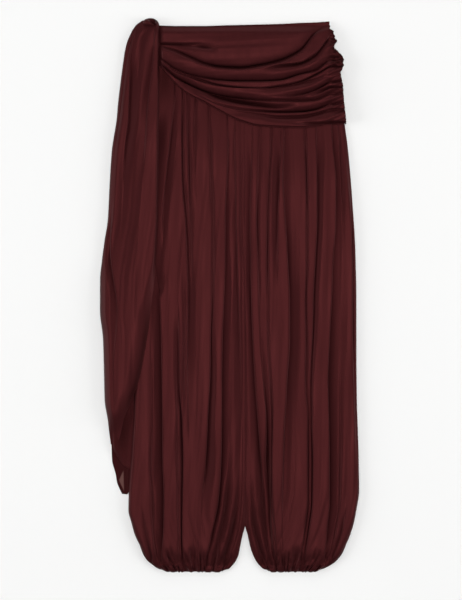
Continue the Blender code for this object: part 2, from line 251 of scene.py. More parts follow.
def satin(name, reds, roughness, sheer=False):
    """A satin material on the piece's own map, from two close reds."""
    material = bpy.data.materials.new(name)
    material.use_nodes = True
    tree = material.node_tree
    nodes, links = tree.nodes, tree.links
    shader = nodes["Principled BSDF"]
    preset(shader, GLOSS)
    own_map = nodes.new("ShaderNodeUVMap")
    own_map.uv_map = "cloth"
    fine = nodes.new("ShaderNodeGroup")
    fine.node_tree = grain
    preset(fine, {"Rough low": roughness[0], "Rough high": roughness[1]})
    links.new(own_map.outputs["UV"], fine.inputs["Map"])
    links.new(fine.outputs["Roughness"], shader.inputs["Roughness"])

    colours = nodes.new("ShaderNodeValToRGB")
    for stop, place, red in zip(colours.color_ramp.elements, RED_STOPS, reds):
        stop.position = place
        stop.color = (*red, 1)
    links.new(fine.outputs["Tone"], colours.inputs["Fac"])
    # Painted shade: deep in a fold the red is darkened towards this colour
    painted_shade_red = [PAINTED_SHADE_LEFT * part for part in reds[0]]
    colour = masked(tree, cloth_mask(tree, "painted_fold_shade"), colours.outputs["Color"], painted_shade_red)
    if sheer:
        single = cloth_mask(tree, "single_layer")
        # The single layer is made see-through, and painted paler as painted light showing through
        colour = masked(tree, single, colour, PAINTED_SHOW_THROUGH_RED)
        thin = nodes.new("ShaderNodeMapRange")
        preset(thin, {"To Min": 1.0, "To Max": SHEER_ALPHA})
        links.new(single, thin.inputs["Value"])
        links.new(thin.outputs[0], shader.inputs["Alpha"])
    links.new(colour, shader.inputs["Base Color"])

    raised = nodes.new("ShaderNodeBump")
    preset(raised, {"Strength": 0.12, "Distance": THREAD_HEIGHT})
    links.new(fine.outputs["Height"], raised.inputs["Height"])
    links.new(raised.outputs["Normal"], shader.inputs["Normal"])
    return material


face_satin = satin("burgundy_satin", FACE_REDS, FACE_ROUGH)
back_satin = satin("burgundy_satin_back", BACK_REDS, BACK_ROUGH)
sheer_satin = satin("burgundy_satin_single", BACK_REDS, BACK_ROUGH, sheer=True)
print("finishes:", face_satin.name, back_satin.name, sheer_satin.name)

# %% [markdown]
# Every panel is a grid that is laid over its rows and columns. The grid comes from one bmesh
# operator, and its points then go where the panel's own functions say. Its map is measured
# along the cloth, so a pleat takes as much of the weave as it takes of the cloth. A Solidify
# modifier gives the shell its thickness. The area of the grid is printed and kept with the
# piece, because it says how large the cloth was cut.

# %% Lay a grid of cloth
sheets = []


def put(name, data):
    """A new object in the scene."""
    thing = bpy.data.objects.new(name, data)
    bpy.context.scene.collection.objects.link(thing)
    return thing


def lay_cloth(name, x, down, z, material, shell, deep):
    """A thin shell of cloth through rows and columns of points, with its map in metres."""
    rows, columns = x.shape
    mesh = bpy.data.meshes.new(name)
    bm = bmesh.new()
    bmesh.ops.create_grid(bm, x_segments=columns - 1, y_segments=rows - 1, size=0.5)
    bm.to_mesh(mesh)
    bm.free()
    unit = np.empty(len(mesh.vertices) * 3)
    mesh.vertices.foreach_get("co", unit)
    unit = unit.reshape(-1, 3)
    k = np.rint((unit[:, 0] + 0.5) * (columns - 1)).astype(int)
    r = np.rint((0.5 - unit[:, 1]) * (rows - 1)).astype(int)
    points = np.stack([x[r, k] - MIDDLE_X, WAIST_Y - down[r, k], z[r, k]], axis=1) * MM
    mesh.vertices.foreach_set("co", points.ravel())

    step = np.hypot(np.diff(x, axis=1), np.diff(z, axis=1))
    along = np.hstack([np.zeros((rows, 1)), np.cumsum(step, axis=1)])
    along -= along.mean(axis=1, keepdims=True)
    spots = np.empty(len(mesh.loops), np.int32)
    mesh.loops.foreach_get("vertex_index", spots)
    uv = np.stack([along[r, k], down[r, k]], axis=1)[spots] * MM
    mesh.uv_layers.new(name="cloth").data.foreach_set("uv", uv.ravel())
    # deep is painted shade, kept on the points for the finish to darken the red
    if deep is not None:
        shade = mesh.attributes.new("painted_fold_shade", "FLOAT", "POINT")
        shade.data.foreach_set("value", deep[r, k].astype(np.float32))
    mesh.shade_smooth()
    mesh.materials.append(material)

    piece = put(name, mesh)
    wall = piece.modifiers.new("thickness", "SOLIDIFY")
    wall.thickness = shell * MM
    wall.offset = -1
    return piece


def cloth_area(x, down, z):
    """Surface of a grid of points, in square metres."""
    corner = np.stack([x, down, z], axis=2) * MM
    one = np.cross(corner[1:, :-1] - corner[:-1, :-1], corner[:-1, 1:] - corner[:-1, :-1])
    two = np.cross(corner[1:, :-1] - corner[1:, 1:], corner[:-1, 1:] - corner[1:, 1:])
    return float((np.linalg.norm(one, axis=2) + np.linalg.norm(two, axis=2)).sum() / 2)


def dress(node, points, finish, shell=SHELL, deep=None):
    """Lay the cloth that stands for a node, and keep its area for later. The columns of a
    right panel run inwards, from right to left, so they are turned round to face up."""
    if node.endswith("right"):
        points = [grid[:, ::-1] for grid in points]
        deep = None if deep is None else deep[:, ::-1]
    piece = lay_cloth(f"{node}_cloth", *points, finish, shell, deep)
    area = cloth_area(*points)
    sheets.append((piece, node, area))
    print(piece.name, len(piece.data.polygons), "faces,", round(area, 4), "m2")
    return piece


# %% [markdown]
# The legs are the largest pieces. Each front panel is wide cloth, pleated into the hips and
# gathered again at the ankle, so long pleats run the whole way and lean a little. A cloth
# simulation would make folds, but not these folds. So each pleat is a row of a table: where
# its valley shows, in millimetres across from the middle of the waist, how deep it is, and
# how far its slopes reach on the outer and the inner side. A slope that reaches only a few
# millimetres is the crisp side, where the cloth turns over in a rolled lip.

# %% The legs' outline
# down, and the edges of both legs: outer left, inner left, inner right, outer right
LEG_EDGES = (
    (1, -132, 29.3, 29.3, 190), (66, -147, 29.3, 29.3, 203),
    (151, -155, 29.3, 29.3, 213), (189, -161, 29.3, 29.3, 220),
    (239, -167, 29.3, 29.3, 227), (335, -176, 29.3, 29.3, 235),
    (431, -182, 29.3, 29.3, 241), (527, -184, 29.3, 29.3, 243),
    (623, -184, 29.3, 29.3, 243), (719, -184, 29.3, 29.3, 244),
    (815, -188, 29.3, 29.3, 247), (892, -193.5, 29.3, 29.3, 248.3),
    (930, -194.5, 29.3, 29.3, 243), (955, -188.5, 29.3, 29.3, 238),
    (978, -182, 24, 35, 231), (997, -173, 20, 39, 223),
    (1013, -167, 17, 44, 216), (1026, -159, 12, 50, 206),
    (1036, -147, 5, 57, 193), (1044, -134, -3, 66, 176),
    (1049, -111, -15, 82, 158),
)


def leg_sides(side, down):
    """Outer and inner edge of a leg."""
    outer, inner, half_gap = (1, 2, GAP / 2) if side == "left" else (4, 3, -GAP / 2)
    return table_curve(LEG_EDGES, outer, down), table_curve(LEG_EDGES, inner, down) - half_gap


print("a leg is", round(float(np.ptp(leg_sides("left", 700)))), "mm wide at the knee")

# %% The legs' pleats
# Places down the leg for the first two lists of each pleat, and for its two reaches
PLEAT_DOWN = (143, 220, 297, 373, 450, 527, 604, 681, 757, 834, 911, 969, 1019)
REACH_DOWN = (220, 450, 527, 757, 911)
# name, place across, depth in percent, reach outwards, reach inwards
LEFT_PLEATS = (
    ("corner fold", (-149, -159, -167, -172, -174, -176, -176, -176, -176, -176, -172, -162, -149),
     (0, 0, 0, 0, 0, 0, 0, 0, 0, 0, 0, 30, 60), 8, (8, 8, 8, 8, 6)),
    ("outer shade", (-140, -147, -153, -155, -155, -153, -151, -150, -149, -151, -148, -146, -140),
     (0, 0, 0, 0, 0, 0, 5, 12, 20, 30, 30, 30, 25), (8, 8, 8, 7, 6), 4),
    ("outer deep",
     (-132, -137, -140, -142, -143, -134, -130.5, -129, -128, -127.5, -125, -126, -130),
     (30, 70, 60, 50, 55, 75, 90, 95, 95, 95, 90, 85, 50),
     (12, 12, 16, 20, 15), (14, 26, 5, 4, 4)),
    ("scarf pleat", (-105, -115, -123, -128, -126, -119, -115, -115, -115, -115, -113, -113, -115),
     (45, 60, 50, 20, 0, 0, 0, 0, 0, 0, 0, 0, 10), (4, 5, 8, 8, 8), (9, 10, 8, 8, 8)),
    ("wide band, far side",
     (-99, -103, -107, -111, -111, -107, -103, -100, -99, -100, -98, -97, -96),
     (0, 0, 0, 0, 0, 0, 0, 10, 20, 25, 25, 25, 20), 6, 4),
    ("wide band", (-96, -97, -99, -101, -101, -100, -98, -96, -90, -88, -89, -90, -88),
     (0, 0, 0, 0, 0, 0, 45, 55, 85, 95, 95, 90, 60), (8, 8, 8, 8, 7.5), 4),
    ("hair crease", (-93, -95, -95, -92, -90, -88, -88, -89, -87, -85, -86, -86, -84),
     (0, 0, 0, 0, 0, 15, 30, 30, 0, 0, 0, 0, 0), 4, 3),
    ("fine pair, outer", (-90, -92, -91, -85, -82, -81, -81, -80, -78, -76, -76, -76, -76),
     (55, 60, 50, 50, 50, 60, 55, 30, 15, 0, 0, 0, 0), (5, 4, 4, 5, 5), (6, 8, 12, 16, 16)),
    ("fine pair, inner", (-81, -80, -78, -76, -74, -71, -67, -65, -63, -63, -65, -67, -69),
     (50, 45, 45, 30, 25, 0, 0, 0, 0, 0, 0, 0, 20), 5, 7),
    ("short pleat", (-64, -67, -67, -63, -59, -57, -55, -55, -55, -55, -58, -61, -63),
     (60, 25, 10, 0, 0, 0, 0, 0, 0, 0, 0, 0, 20), 6, 6),
    ("middle deep", (-40, -37, -35, -32, -32, -33, -37, -39, -43, -46, -51, -55, -57),
     (35, 40, 30, 25, 25, 35, 65, 75, 95, 90, 30, 10, 10), (6, 6, 5, 4, 8), (6, 6, 6, 12, 18)),
    ("inner deep", (-5, -3, -6, -10, -10, -12, -15, -16, -16, -17, -22, -34, -45),
     (30, 45, 60, 65, 75, 75, 80, 85, 90, 100, 90, 80, 50), (5, 4, 4, 4, 5), (12, 24, 16, 20, 12)),
    ("fan, outer", (2, 3, 2, 0, 2, 0, -1, -1, 0, -1, -6, -16, -30),
     (0, 0, 0, 0, 0, 0, 0, 0, 0, 25, 90, 85, 60), (5, 5, 5, 5, 9), (8, 8, 8, 8, 16)),
    ("fan, inner", (10, 9, 10, 12, 15, 17, 19, 21, 22, 20, 15, 5, -9),
     (20, 40, 30, 45, 50, 50, 45, 40, 30, 20, 65, 95, 85), (8, 10, 10, 10, 8), (4, 4, 4, 6, 10)),
    ("seam shade", (22, 22, 22, 22, 24, 24, 25, 26, 26, 26, 24, 17, 2),
     (0, 10, 15, 20, 15, 15, 15, 15, 15, 15, 25, 30, 20), 6, 5),
)
RIGHT_PLEATS = (
    ("edge strip", (209, 219, 228, 233, 234, 234, 235, 238, 241, 243, 240, 229, 210),
     (0, 0, 30, 90, 90, 85, 75, 60, 40, 15, 0, 0, 0), (8, 8, 8, 6, 5), 4),
    ("corner fold", (206, 209, 213, 217, 221, 223, 223, 223, 223, 223, 222, 215, 199),
     (40, 55, 50, 15, 0, 0, 0, 0, 0, 0, 0, 45, 45), (8, 8, 6, 6, 5), (4, 6, 6, 6, 8)),
    ("outer shade", (202, 204, 209, 212, 214, 216, 214, 212, 212, 211, 210, 202, 192),
     (0, 0, 0, 0, 0, 0, 0, 8, 15, 28, 30, 30, 20), (8, 8, 8, 7, 6), 4),
    ("outer deep", (195, 197, 202, 202, 197, 194, 190, 187, 189, 190, 190, 185, 181),
     (70, 90, 85, 60, 60, 75, 90, 95, 95, 90, 85, 75, 50), (10, 30, 32, 26, 16), 4),
    ("wide band", (166, 166, 166, 166, 163, 159, 158, 157, 158, 160, 159, 152, 144),
     (50, 60, 80, 80, 75, 70, 60, 50, 60, 90, 90, 85, 50), (12, 8, 8, 5, 5), (4, 4, 4, 8, 8)),
    ("short pleat", (144, 145, 147, 148, 148, 146, 147, 145, 148, 148, 148, 142, 135),
     (40, 55, 65, 30, 30, 40, 35, 40, 75, 95, 95, 90, 50), (6, 6, 4, 10, 10), (6, 5, 4, 4, 4)),
    ("middle deep", (105, 104, 103, 106, 110, 114, 114, 109, 105, 103, 102, 102, 104),
     (50, 55, 45, 50, 85, 80, 75, 75, 55, 45, 30, 10, 10), (8, 22, 16, 24, 16), (5, 4, 4, 4, 5)),
    ("fine pair, outer", (100, 97, 96, 93, 90, 89, 89, 89, 89, 91, 93, 95, 96),
     (40, 40, 75, 60, 25, 0, 0, 0, 0, 0, 0, 0, 15), (4, 4, 4, 6, 6), (12, 10, 8, 8, 8)),
    ("fine pair, inner", (81, 80, 76, 73, 72, 73, 74, 78, 81, 80, 80, 85, 89),
     (50, 50, 30, 30, 40, 10, 25, 25, 45, 70, 50, 20, 10), 5, 4),
    ("inner deep", (59, 57, 55, 52, 55, 57, 60, 65, 69, 72, 75, 78, 82),
     (30, 35, 25, 50, 30, 20, 10, 35, 75, 100, 95, 85, 50), (8, 6, 8, 8, 8), (6, 4, 4, 5, 12)),
    ("fan, outer", (43, 42, 40, 39, 41, 42, 45, 49, 54, 59, 63, 68, 74),
     (10, 25, 45, 50, 60, 75, 75, 75, 85, 90, 95, 85, 60), (4, 4, 4, 5, 9), (10, 10, 8, 14, 18)),
    ("fan, inner", (37, 36, 34, 34, 34, 35, 36, 38, 39, 39, 40, 48, 62),
     (0, 0, 0, 0, 0, 0, 0, 0, 0, 10, 40, 95, 85), 9, 8),
)


def leg_pleats(side):
    """The pleats of a leg, and which way across is inwards."""
    return (LEFT_PLEATS, 1) if side == "left" else (RIGHT_PLEATS, -1)


print("pleats:", len(LEFT_PLEATS), "left,", len(RIGHT_PLEATS), "right")

# %% [markdown]
# Between two valleys the cloth stands up in a band. On its soft side the band falls away
# slowly. On its crisp side it has a rounded shoulder, which is what catches the light in
# satin, and then it turns over and hangs a little out over the valley. Columns of the grid
# run along the valleys, so a crisp edge stays smooth however much it leans.

# %% Pleat shape
# How far from its valley a crisp side has risen, and how far its shoulder is round
CREST = 3.5
SHOULDER = 6.0
# Shares of the band's height: the shoulder's drop, a valley's depth, the rise beside it
DROP = 0.16
DEEP = 0.72
RAISE = 0.06
# How far a lip leans out over a full valley
LEAN = 5.0
# Slopes up to this reach are crisp, and from the next one soft
CRISP_REACH = 4.0
SOFT_REACH = 9.0


def crispness(reach):
    """1 for a slope of a few millimetres, 0 for a soft slope."""
    return 1 - ease((np.asarray(reach, float) - CRISP_REACH) / (SOFT_REACH - CRISP_REACH))


def pleat_line(pleat, places, reaches, down, inward, lean=LEAN):
    """Where a pleat's valley lies under its lip, and the pleat's numbers there."""
    _, line, depth, outer, inner = pleat
    line = curve(places, line, down)
    depth = curve(places, depth, down) / 100
    outer, inner = curve(reaches, outer, down), curve(reaches, inner, down)
    tuck = lean * depth ** 1.5
    under = np.maximum(tuck - 0.8 * CREST, 0) - 2.0 * np.minimum(1.5 * depth, 1)
    line = line + inward * under * (crispness(inner) - crispness(outer))
    return line, depth, outer, inner


def pleat_shape(pleats, places, reaches, across, down, inward=1, lean=LEAN):
    """Height of the cloth over its pleats, 0 in a deep valley and 1 on a band, and how far
    each rolled lip leans out over its valley, in millimetres."""
    keep = np.ones(across.shape)
    shift = np.zeros(across.shape)
    for pleat in pleats:
        line, depth, outer, inner = pleat_line(pleat, places, reaches, down, inward, lean)
        away = (across - line) * inward
        reach = np.where(away > 0, inner, outer)
        far = np.abs(away)
        crisp = crispness(reach)
        raised = RAISE * hump(far - 9, 12)
        band = raised - DROP * (1 - np.clip(far / SHOULDER, 0, 1)) ** 2
        crisp_side = (band + DEEP) * ease(far / CREST) - DEEP
        bend = 1.3 + 0.9 * ease((reach - 14) / 10)
        soft_side = -DEEP * (1 - np.clip(far / (1.25 * reach), 0, 1)) ** bend
        keep = keep * (1 + depth * (crisp * crisp_side + (1 - crisp) * soft_side))
        rolled = ease(far / CREST) * (1 - ease((far - CREST) / (2.2 * CREST)))
        shift -= inward * np.sign(away) * crisp * lean * depth ** 1.5 * rolled
    return keep, shift


def pleat_columns(pleats, places, reaches, down, outer, inner, cells, inward=1, lean=LEAN):
    """Places across for a row's points, closest together beside each valley."""
    lines = [float(pleat_line(pleat, places, reaches, down, inward, lean)[0]) for pleat in pleats]
    lines = np.array([outer, *lines, inner]) * inward
    lines = np.maximum.accumulate(np.minimum(lines, lines[-1]) + 0.02 * np.arange(len(lines)))
    steps = [a + (b - a) * (0.5 - 0.5 * np.cos(np.pi * np.arange(n) / n))
             for a, b, n in zip(lines, lines[1:], cells)]
    return np.append(np.concatenate(steps), lines[-1]) * inward


def cells_between(pleats, outer, inner, total):
    """How many columns each band gets: a share for its width, and a few for its walls."""
    lines = [outer, *(np.mean(pleat[1]) for pleat in pleats), inner]
    width = np.abs(np.diff(lines))
    walls = 7
    return [walls + int(share) for share in (total - walls * len(width)) * width / width.sum()]


# %% [markdown]
# No hand lays satin down without small ripples. They are a few long waves of different
# lengths that lean along the pleats. They are less than a millimetre high: enough to break
# the highlights, too low to change the form.

# %% Small ripples
# length across, length down, height, start
RIPPLES = (
    (31.0, 410.0, 0.34, 0.3),
    (17.0, 260.0, 0.20, 1.9),
    (11.0, 330.0, 0.10, 4.1),
    (7.3, 190.0, 0.05, 2.7),
    (63.0, 150.0, 0.22, 5.2),
)


def ripple(across, down, seed=0.0, strength=1.0):
    """A sum of long leaning waves, in millimetres, that swells and dies down the cloth."""
    total = 0.0
    for k, (wide, long, height, start) in enumerate(RIPPLES):
        phase = start + seed * (k + 1)
        swell = 0.6 + 0.4 * np.sin(down / (0.37 * long) + 2.1 * phase)
        sway = 0.8 * np.sin(down / (0.6 * long) + phase)
        wave = np.sin(2 * np.pi * (across / wide + down / long) + phase + sway)
        total = total + height * swell * wave
    return strength * total


# %% [markdown]
# The swags across the hips lie on the legs, so the legs stay low under them and rise as they
# come out. At the ankle the panel is drawn into the casing: short gathers start a hand's
# breadth above it and deepen to the edge. The two panels meet in a seam that is pressed
# nearly flat.

# %% Height of the legs
# The places across the hips where the swag lines are given, and the drape's lower edge there
SWAG_X = (-134, -105, -76, -48, -19, 20, 58, 96, 135, 164, 191)
LOWER_EDGE = (78, 112, 135, 149, 165, 184, 194, 196, 197, 195, 190)
# Height of a band over the layer below, and the share of it that is left under the drape
LEG_LOFT = 9.5
LEG_TUCKED = 0.2
# How far in the outer edge is round, above and below the scarf's end, and the crotch's edge
EDGE_ROLL = 12
CALF_ROLL = 6
CROTCH_ROLL = 42
LEG_ROWS = 205
LEG_COLUMNS = 226
GATHERS = 11
# Waves for each gather, where down the leg they start, how deep they are
GATHER_WAVES = ((1, 1003, 0.55), (1.7, 1012, 0.35), (2.6, 1016, 0.3))


def drape_edge(x):
    """How far down the lower edge of the hip drape lies."""
    return curve(SWAG_X, LOWER_EDGE, x)


def leg_loft(x, down, from_outer, from_inner=90.0):
    """Height of the bands over the layer below: low under the drape, full below it."""
    freed = LEG_TUCKED + (1 - LEG_TUCKED) * ease((down - drape_edge(x) + 30) / 150)
    calf = ease((down - 650) / 80) * (1 - ease((down - 930) / 60))
    roll = EDGE_ROLL - (EDGE_ROLL - CALF_ROLL) * calf
    rounded = np.sqrt(1 - (1 - np.clip(from_outer / roll, 0.0, 1.0)) ** 2)
    spread = ease((down - 350) / 450)
    sunk = 0.18 + 0.34 * spread
    seam = 1 - sunk + sunk * np.sqrt(np.clip(from_inner / (14 + 34 * spread), 0, 1))
    crotch = np.sqrt(np.clip(from_inner / CROTCH_ROLL, 0, 1))
    seam = seam + (crotch - seam) * ease((down - 860) / 90)
    hem = 1 - 0.3 * ease((down - 1000) / 40)
    return LEG_LOFT * freed * rounded * seam * hem


def gather_place(share):
    """Which gather a point belongs to: even steps, pushed about a little."""
    place = GATHERS * share + 0.32 * np.sin(2 * np.pi * 3.1 * share + 0.7)
    return place + 0.2 * np.sin(41 * share)


def leg_rows():
    """Places down the leg. The last two are close, which keeps the cut edge's rim narrow."""
    t = np.linspace(0, 1, LEG_ROWS)
    rows = 1 + (HEM_DOWN - CASING - 1) * (t + 0.12 * np.sin(np.pi * t) * t)
    return np.insert(rows, -1, rows[-1] - 0.25)


def front_leg_height(side, x, places, outer, inner):
    """Upper face of a front panel, and how far its rolled lips lean."""
    pleats, inward = leg_pleats(side)
    high, shift = pleat_shape(pleats, PLEAT_DOWN, REACH_DOWN, x, places, inward)
    loft = leg_loft(x, places + waist_lift(x, places), np.abs(x - outer), np.abs(inner - x))
    z = REST + loft * high
    calm = np.clip(loft / LEG_LOFT, 0, 1) * np.clip(high, 0.25, 1)
    z += ripple(x - outer, places, 0.0 if side == "left" else 1.7) * calm
    gather = gather_place((x - outer) / (inner - outer))
    for turns, start, strength in GATHER_WAVES:
        drawn = ease((places - start - 10 * np.sin(2.3 * gather + start)) / 26)
        wave = 0.5 - 0.5 * np.cos(2 * np.pi * turns * gather + 0.02 * start * (turns != 1))
        z = z - strength * drawn * wave ** 5 * (z - REST)
    crumpled = np.sin(x / 1.5 + 1.3 * np.sin(places / 4)) * np.sin(places / 2.9 + x / 6)
    z = z + 0.55 * crumpled * ease((places - 1000) / 26) * calm
    free = ease(np.abs(x - outer) / 12) * ease(np.abs(inner - x) / 12)
    return z, shift * free * loft / LEG_LOFT


# %% [markdown]
# The deepest folds get painted shade on the cloth's mask, because the shell is shallower
# than the real fold. The painted shade lies along the bottom of the lower pleats and a little
# way up their soft slopes, in the fan of folds over the crotch, in the hollow beside the knot,
# and in small spots among the crumples that the elastic makes.

# %% The front legs
# How much painted shade each kind of fold gets, from 0 to 1
BOTTOM_SHADE = 0.7
SLOPE_SHADE = 0.27
FAN_SHADE = 0.3
KNOT_SHADE = 0.8
CRUMPLE_SHADE = 0.42


def crumpled_shade(x, down):
    """Spots of painted shade among the small crumples, above the casing and on it."""
    wander = x / 2.6 + 1.9 * np.sin(down / 4.1)
    spots = 0.5 + 0.5 * np.sin(wander) * np.sin(down / 3.3 + x / 7.5)
    return CRUMPLE_SHADE * ease((down - 1000) / 22) * spots ** 1.5


def leg_shade(side, x, places, down, from_inner):
    """How much painted shade each point of a front panel gets, from 0 to 1."""
    pleats, inward = leg_pleats(side)
    shade = KNOT_SHADE * hump(x + 124, 15) * (1 - ease((down - 95) / 90))
    for pleat in pleats:
        line, depth, reach, _ = pleat_line(pleat, PLEAT_DOWN, REACH_DOWN, places, inward)
        bottom = hump(x - line, 4.2) * ease((down - 600) / 220)
        slope = hump((line - x) * inward - 10, 11) * ease((reach - 8) / 6)
        slope = slope * ease((down - 480) / 160)
        shade = np.maximum(shade, BOTTOM_SHADE * depth ** 2.5 * bottom)
        shade = np.maximum(shade, SLOPE_SHADE * depth ** 2 * slope)
    fan = FAN_SHADE * ease((places - 850) / 70) * ease(from_inner / 8)
    fan = fan * (1 - ease((from_inner - 46) / 22))
    return 1 - (1 - shade) * (1 - fan) * (1 - crumpled_shade(x, places))


def front_leg_points(side):
    """The front panel's rows and columns of points in millimetres, and its painted shade."""
    pleats, inward = leg_pleats(side)
    places = leg_rows()
    outer, inner = leg_sides(side, places)
    cells = cells_between(pleats, *leg_sides(side, 600.0), LEG_COLUMNS)
    x = np.array([pleat_columns(pleats, PLEAT_DOWN, REACH_DOWN, *row, cells, inward)
                  for row in zip(places, outer, inner)])
    places, outer, inner = places[:, None], outer[:, None], inner[:, None]
    down = places + waist_lift(x, places)
    z, shift = front_leg_height(side, x, places, outer, inner)
    return (x + shift, down, z), leg_shade(side, x, places, down, np.abs(inner - x))


for side in ("left", "right"):
    points, shade = front_leg_points(side)
    # shade is the painted shade that goes on the cloth's mask
    dress(f"front_leg_{side}", points, face_satin, deep=shade)

# %% [markdown]
# The back panels carry the garment, so they lie flat. Cloth that has been pressed flat under
# its own folds still shows them as shallow troughs, which here are cut up into the underside
# and never reach below the surface it lies on.

# %% The back legs
BACK_SHELL = 0.7
BACK_TROUGH = 0.55
BACK_PLEATS = 9


def back_leg_points(side):
    """The back panel's rows and columns of points, nearly flat."""
    places = np.linspace(1, HEM_DOWN - CASING, 150)[:, None]
    outer, inner = leg_sides(side, places)
    share = np.linspace(0, 1, 91)[None, :]
    x = outer + share * (inner - outer)
    down = places + waist_lift(x, places)
    lean = share * BACK_PLEATS + 0.25 * np.sin(places / 210 + 5 * share)
    trough = (0.5 + 0.5 * np.cos(2 * np.pi * lean)) ** 6
    ends = 0.35 + 0.65 * np.abs(np.cos(np.pi * places / HEM_DOWN))
    return x, down, BACK_SHELL + 0.05 + BACK_TROUGH * trough * ends


for side in ("left", "right"):
    dress(f"back_leg_{side}", back_leg_points(side), back_satin, BACK_SHELL)

# %% [markdown]
# The casing is the turned end of the leg with the elastic inside. The elastic draws it into a
# tight row of puckers, each rounded on top and pinched below. It is a strip of its own that
# starts just under the leg's edge and carries on its gathers and its spots of painted shade,
# so the two read as one drawn cloth.

# %% The ankle casings
# How far the edge waves with the puckers, how high they stand, how the corners are cut
SCALLOP = 1.6
CASING_LOFT = 6.2
CORNER_RISE = 0.6
# How far the front half starts under the leg, and where down it the puckers are full
CASING_LAP = 0.6
FULL_PUCKER = 0.8
CASING_SHELL = 0.4
CASING_ROWS = 26


def casing_points(side, face):
    """Half of an ankle casing: puckered in front, flat behind."""
    start = HEM_DOWN - CASING + (-CASING_LAP if face == "front" else CASING_LAP)
    t = np.linspace(0, 1, CASING_ROWS if face == "front" else 6)[:, None]
    share = np.linspace(0.0, 1.0, 30 * GATHERS + 1 if face == "front" else 61)[None, :]
    middle = ease(np.minimum(share, 1 - share) * 7)
    full = start + (HEM_DOWN - start) * t
    corner = start + (full - start) * CORNER_RISE
    outer, inner = leg_sides(side, corner)
    x = outer + share * (inner - outer)
    down = corner + (full - corner) * middle
    pucker = 0.5 + 0.5 * np.cos(2 * np.pi * gather_place(share))
    down = down + SCALLOP * (pucker - 0.5) * middle * t ** 3
    z = np.full(x.shape, WALL - 0.7)
    if face == "front":
        end = HEM_DOWN - CASING
        end_outer, end_inner = leg_sides(side, end)
        end_x = end_outer + share * (end_inner - end_outer)
        above, lean = front_leg_height(side, end_x, end + 0 * share, end_outer, end_inner)
        grown = ease(t / FULL_PUCKER)
        x = x + lean * (1 - grown)
        low = WALL + GAP + 0.7
        rolled = np.sqrt(1 - np.clip((t - 0.35) / 0.65, 0, 1) ** 2)
        broad = 1 - (1 - pucker) ** 4
        puckered = low + CASING_LOFT * rolled * (0.3 + 0.7 * middle) * (0.2 + 0.8 * broad)
        puckered = puckered + 0.25 * np.sin(9 * gather_place(share) + 6 * t) * middle
        z = low + (above - low) * rolled * (1 - grown) + (puckered - low) * grown
        z = z - (SHELL + 0.03) * (1 - ease(t / 0.045))
    return x, down, z


for side in ("left", "right"):
    points = casing_points(side, "front")
    # Painted shade among the crumples of the casing
    shade = crumpled_shade(*points[:2])
    dress(f"hem_casing_front_{side}", points, face_satin, CASING_SHELL, shade)
    points = casing_points(side, "back")
    dress(f"hem_casing_back_{side}", points, back_satin, CASING_SHELL)

# %% [markdown]
# The hip drape is one cloth with its fullness run into the right side. From the left hip its
# folds hang as swags: each line in the table is a valley, and below it the next swag starts
# with a rolled, bright edge and falls away slowly. All of them crowd into the ruffled side.
# The painted shade deep in each valley goes on the same mask as the legs'.

# %% The hip drape
# name, place down and depth in percent at each place across, reach above and below
SWAG_LINES = (
    ("waist", (1, 2, 2, 2, 1, 0, -1, -2, -4, -5, -7), 0, 9, 9),
    ("pinch", (36, 37, 38, 38, 38, 32, 28, 22, 16, 7, -4),
     (80, 85, 55, 0, 0, 0, 0, 0, 0, 0, 0), 4, 14),
    ("dimple", (37, 39, 40, 43, 46, 40, 34, 28, 20, 8, -3),
     (0, 0, 25, 65, 0, 0, 0, 0, 0, 0, 0), 14, 8),
    ("first swag", (38, 48, 61, 73, 79, 81, 76, 67, 48, 14, -2),
     (45, 70, 75, 80, 100, 100, 100, 90, 85, 60, 45), 28, 7),
    ("slit", (60, 72, 80, 85, 89, 91, 89, 80, 73.5, 58, 24),
     (0, 0, 0, 0, 0, 0, 0, 55, 100, 75, 60), 4.5, 12),
    ("second swag", (62, 83, 94, 100, 104, 106, 106, 104, 93, 86, 66),
     (50, 60, 65, 70, 80, 100, 100, 90, 80, 65, 50), 18, 4),
    ("third swag", (64, 90, 101, 110, 117, 121, 122, 118, 109, 97, 81),
     (10, 25, 35, 50, 70, 90, 100, 75, 60, 70, 65), 3.5, 4),
    ("upper side tuck", (68, 93, 105, 114, 122, 126, 129, 122, 114, 107, 93),
     (0, 0, 0, 0, 0, 0, 10, 35, 45, 25, 10), 4, 9),
    ("middle side tuck", (71, 97, 110, 121, 128, 133, 137, 137, 133, 124, 108),
     (0, 0, 0, 0, 0, 0, 0, 15, 50, 60, 75), 10, 4),
    ("short side tuck", (72, 98, 112, 123, 130, 135, 139, 140, 139, 133, 121),
     (0, 0, 0, 0, 0, 0, 0, 0, 0, 20, 75), 5, 4),
    ("fourth swag", (73, 99, 114, 125, 132, 138, 142, 144, 145, 143, 132),
     (40, 65, 85, 95, 85, 80, 60, 50, 55, 50, 45), 9, 4.5),
    ("fourth swag, below", (75, 104, 120, 131, 141, 149, 154, 158, 156, 153, 143),
     (0, 0, 20, 60, 95, 100, 90, 50, 0, 0, 0), 6, 8),
    ("fifth swag", (76, 107, 127, 140, 153, 162, 165, 166, 165, 161, 151),
     (0, 0, 0, 15, 25, 35, 55, 90, 95, 80, 55), 10, 3.5),
    ("fifth swag, below", (77, 108, 130, 143, 157, 169, 174, 178, 177, 172, 163),
     (0, 0, 0, 0, 0, 10, 25, 45, 55, 55, 45), 3.5, 9),
    ("last tuck", (77.5, 110, 132, 146, 161, 178, 185, 187, 189, 190, 187),
     (0, 0, 0, 0, 0, 0, 0, 0, 10, 50, 70), 5, 4),
    ("lower edge", LOWER_EDGE, 0, 9, 9),
)
